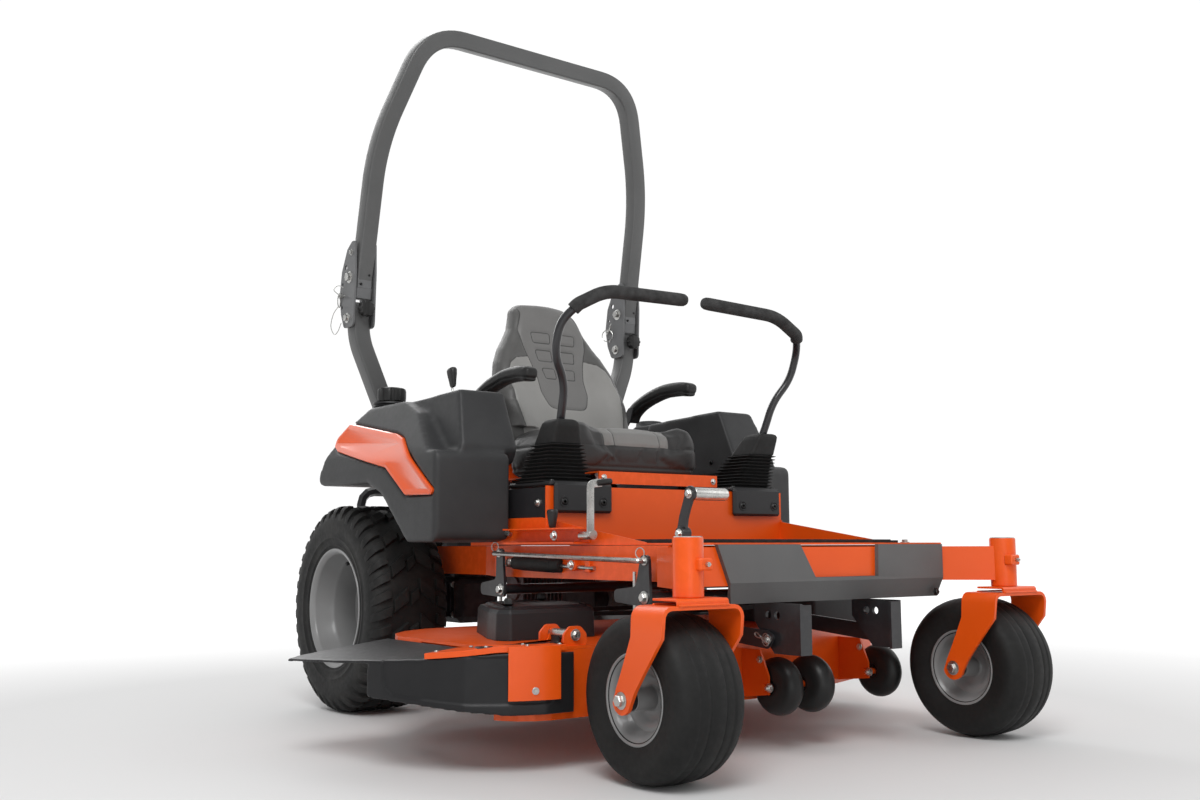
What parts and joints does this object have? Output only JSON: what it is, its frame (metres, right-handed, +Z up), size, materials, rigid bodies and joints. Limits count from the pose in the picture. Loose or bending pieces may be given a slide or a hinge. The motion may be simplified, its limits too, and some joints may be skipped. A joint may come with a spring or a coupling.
{
  "type": "zero turn mower",
  "caption": "Ride-on zero turn mower with drive wheels, swivel casters, a lifting blade deck with a side chute, a tilting seat, twin lap bars and a folding roll hoop.",
  "frame": {"origin": "on the ground, at the middle of the bounding box seen from above", "axes": "+Z up; +Y towards the rear of the machine, so the operator looks along -Y; +X towards the operator's left; the discharge chute is on the -X side"},
  "size_m": [1.6835, 2.0539, 2.0137],
  "materials": {
    "chassis_paint": "gloss orange paint",
    "moulded_grey": "satin dark grey moulding",
    "moulded_black": "fine grained black moulding",
    "black_enamel": "satin black paint",
    "hoop_grey": "satin grey paint",
    "soft_rubber": "matt black rubber",
    "tyre_rubber": "matt black tyre rubber",
    "rim_grey": "silver grey paint",
    "plated_steel": "bright zinc plate",
    "cast_dark": "dark painted casting",
    "seat_vinyl": "grained two-tone grey vinyl"
  },
  "bodies": {
    "chassis": {"frame_rail_left": "chassis_paint", "fender_left": "moulded_grey", "transaxle_left": "cast_dark", "rops_post_left": "hoop_grey", "boot_plate_left": "moulded_black", "deck_hanger_left": "black_enamel", "frame_rail_right": "chassis_paint", "fender_right": "moulded_grey", "transaxle_right": "cast_dark", "rops_post_right": "hoop_grey", "boot_plate_right": "moulded_black", "deck_hanger_right": "black_enamel", "front_beam": "chassis_paint", "front_cover": "moulded_grey", "foot_platform": "chassis_paint", "foot_mat": "soft_rubber", "rear_guard": "black_enamel", "engine_block": "cast_dark", "engine_shroud": "moulded_black", "muffler": "cast_dark", "lift_channel": "chassis_paint"},
    "drive_wheel_right": {"drive_tyre_right": "tyre_rubber", "drive_rim_right": "rim_grey"},
    "caster_yoke_right": {"caster_fork_right": "chassis_paint"},
    "caster_wheel_right": {"caster_tyre_right": "tyre_rubber", "caster_rim_right": "rim_grey"},
    "lever_carrier_right": {"lever_boot_right": "soft_rubber"},
    "lap_lever_right": {"lap_bar_right": "black_enamel", "lap_grip_right": "soft_rubber"},
    "armrest_arm_right": {"armrest_right": "moulded_black"},
    "drive_wheel_left": {"drive_tyre_left": "tyre_rubber", "drive_rim_left": "rim_grey"},
    "caster_yoke_left": {"caster_fork_left": "chassis_paint"},
    "caster_wheel_left": {"caster_tyre_left": "tyre_rubber", "caster_rim_left": "rim_grey"},
    "lever_carrier_left": {"lever_boot_left": "soft_rubber"},
    "lap_lever_left": {"lap_bar_left": "black_enamel", "lap_grip_left": "soft_rubber"},
    "armrest_arm_left": {"armrest_left": "moulded_black"},
    "seat": {"seat_plate": "chassis_paint", "seat_cushion": "seat_vinyl", "seat_backrest": "seat_vinyl"},
    "roll_hoop": {"rops_hoop": "hoop_grey"},
    "deck": {"deck_shell": "chassis_paint", "deck_skirt": "chassis_paint", "belt_cover_right": "moulded_black"},
    "front_lift_crank": {"front_crank": "black_enamel"},
    "rear_lift_crank": {"rear_crank": "black_enamel"},
    "lift_link": {"lift_rod": "plated_steel"},
    "foot_lift_pedal": {"lift_pedal": "black_enamel"},
    "chute": {"discharge_chute": "moulded_black"},
    "spindle_centre": {"blade_centre": "black_enamel"},
    "spindle_right": {"blade_right": "black_enamel"},
    "spindle_left": {"blade_left": "black_enamel"},
    "scalp_roller_centre_right": {"roller_centre_right": "moulded_black"},
    "scalp_roller_centre_left": {"roller_centre_left": "moulded_black"},
    "scalp_roller_left": {"roller_left": "moulded_black"},
    "height_selector": {"height_lever": "plated_steel"},
    "throttle": {"throttle_lever": "moulded_black"},
    "filler_cap": {"fuel_cap": "moulded_black"}
  },
  "joints": [
    {"name": "drive_wheel_spin_right", "type": "hinge", "parent": "chassis", "child": "drive_wheel_right", "pos_m": [-0.35075, 0.477, 0.2858], "axis": [1, 0, 0], "continuous": true},
    {"name": "caster_swivel_right", "type": "hinge", "parent": "chassis", "child": "caster_yoke_right", "pos_m": [-0.37225, -0.942, 0.357], "axis": [0, 0, 1], "continuous": true},
    {"name": "caster_roll_right", "type": "hinge", "parent": "caster_yoke_right", "child": "caster_wheel_right", "pos_m": [-0.37225, -0.863, 0.165], "axis": [1, 0, 0], "continuous": true},
    {"name": "lever_drive_right", "type": "hinge", "parent": "chassis", "child": "lever_carrier_right", "pos_m": [-0.18425, -0.223, 0.585], "axis": [1, 0, 0], "range_deg": [-10, 18], "deforming": ["lever_boot_right"]},
    {"name": "lever_swing_right", "type": "hinge", "parent": "lever_carrier_right", "child": "lap_lever_right", "pos_m": [-0.18425, -0.223, 0.585], "axis": [0, -1, 0], "range_deg": [0, 30]},
    {"name": "armrest_fold_right", "type": "hinge", "parent": "seat", "child": "armrest_arm_right", "pos_m": [-0.15325, 0.219, 0.835], "axis": [-1, 0, 0], "range_deg": [0, 90]},
    {"name": "drive_wheel_spin_left", "type": "hinge", "parent": "chassis", "child": "drive_wheel_left", "pos_m": [0.60225, 0.477, 0.2858], "axis": [1, 0, 0], "continuous": true},
    {"name": "caster_swivel_left", "type": "hinge", "parent": "chassis", "child": "caster_yoke_left", "pos_m": [0.62375, -0.942, 0.357], "axis": [0, 0, 1], "continuous": true},
    {"name": "caster_roll_left", "type": "hinge", "parent": "caster_yoke_left", "child": "caster_wheel_left", "pos_m": [0.62375, -0.863, 0.165], "axis": [1, 0, 0], "continuous": true},
    {"name": "lever_drive_left", "type": "hinge", "parent": "chassis", "child": "lever_carrier_left", "pos_m": [0.43575, -0.223, 0.585], "axis": [1, 0, 0], "range_deg": [-10, 18], "deforming": ["lever_boot_left"]},
    {"name": "lever_swing_left", "type": "hinge", "parent": "lever_carrier_left", "child": "lap_lever_left", "pos_m": [0.43575, -0.223, 0.585], "axis": [0, 1, 0], "range_deg": [0, 30]},
    {"name": "armrest_fold_left", "type": "hinge", "parent": "seat", "child": "armrest_arm_left", "pos_m": [0.40475, 0.219, 0.835], "axis": [-1, 0, 0], "range_deg": [0, 90]},
    {"name": "seat_tilt", "type": "hinge", "parent": "chassis", "child": "seat", "pos_m": [0.12575, -0.245, 0.63], "axis": [1, 0, 0], "range_deg": [0, 60]},
    {"name": "hoop_fold", "type": "hinge", "parent": "chassis", "child": "roll_hoop", "pos_m": [0.12575, 0.533, 1.245], "axis": [-1, 0, 0], "range_deg": [0, 100]},
    {"name": "deck_lift", "type": "slide", "parent": "chassis", "child": "deck", "axis": [0, 0, 1], "range_m": [-0.07, 0.006]},
    {"name": "front_crank_turn", "type": "hinge", "parent": "chassis", "child": "front_lift_crank", "pos_m": [0.12575, -0.721, 0.348], "axis": [1, 0, 0], "range_deg": [-46, 4.5]},
    {"name": "rear_crank_turn", "type": "hinge", "parent": "chassis", "child": "rear_lift_crank", "pos_m": [0.12575, -0.156, 0.35], "axis": [1, 0, 0], "range_deg": [-46, 4.5]},
    {"name": "lift_rod_travel", "type": "slide", "parent": "chassis", "child": "lift_link", "axis": [0, -1, 0], "range_m": [-0.066, 0.006]},
    {"name": "lift_pedal_push", "type": "hinge", "parent": "chassis", "child": "foot_lift_pedal", "pos_m": [-0.25225, -0.788, 0.48], "axis": [1, 0, 0], "range_deg": [-32, 3]},
    {"name": "chute_lift", "type": "hinge", "parent": "deck", "child": "chute", "pos_m": [-0.41725, -0.587, 0.272], "axis": [0, 1, 0], "range_deg": [0, 70]},
    {"name": "blade_spin_centre", "type": "hinge", "parent": "deck", "child": "spindle_centre", "pos_m": [0.12575, -0.388, 0.125], "axis": [0, 0, 1], "continuous": true},
    {"name": "blade_spin_right", "type": "hinge", "parent": "deck", "child": "spindle_right", "pos_m": [-0.32875, -0.223, 0.125], "axis": [0, 0, 1], "continuous": true},
    {"name": "blade_spin_left", "type": "hinge", "parent": "deck", "child": "spindle_left", "pos_m": [0.58025, -0.223, 0.125], "axis": [0, 0, 1], "continuous": true},
    {"name": "roller_turn_centre_right", "type": "hinge", "parent": "deck", "child": "scalp_roller_centre_right", "pos_m": [0.08525, -0.719, 0.14], "axis": [1, 0, 0], "continuous": true},
    {"name": "roller_turn_centre_left", "type": "hinge", "parent": "deck", "child": "scalp_roller_centre_left", "pos_m": [0.18675, -0.719, 0.14], "axis": [1, 0, 0], "continuous": true},
    {"name": "roller_turn_left", "type": "hinge", "parent": "deck", "child": "scalp_roller_left", "pos_m": [0.53575, -0.625, 0.14], "axis": [1, 0, 0], "continuous": true},
    {"name": "height_select", "type": "hinge", "parent": "chassis", "child": "height_selector", "pos_m": [-0.30625, -0.536, 0.48], "axis": [1, 0, 0], "range_deg": [-45, 8]},
    {"name": "throttle_move", "type": "hinge", "parent": "chassis", "child": "throttle", "pos_m": [-0.31425, 0.065, 0.85], "axis": [1, 0, 0], "range_deg": [-18, 18]},
    {"name": "cap_turn", "type": "hinge", "parent": "chassis", "child": "filler_cap", "pos_m": [-0.34425, 0.367, 0.8623], "axis": [0, 0, 1], "range_deg": [0, 120]}
  ],
  "couplings": [
    {"joint": "front_crank_turn", "follows": "deck_lift", "rad_per_m": 11.11},
    {"joint": "rear_crank_turn", "follows": "deck_lift", "rad_per_m": 11.11},
    {"joint": "lift_rod_travel", "follows": "deck_lift", "ratio": 0.91},
    {"joint": "lift_pedal_push", "follows": "deck_lift", "rad_per_m": 7.7},
    {"joint": "blade_spin_right", "follows": "blade_spin_centre", "ratio": 1},
    {"joint": "blade_spin_left", "follows": "blade_spin_centre", "ratio": 1}
  ]
}
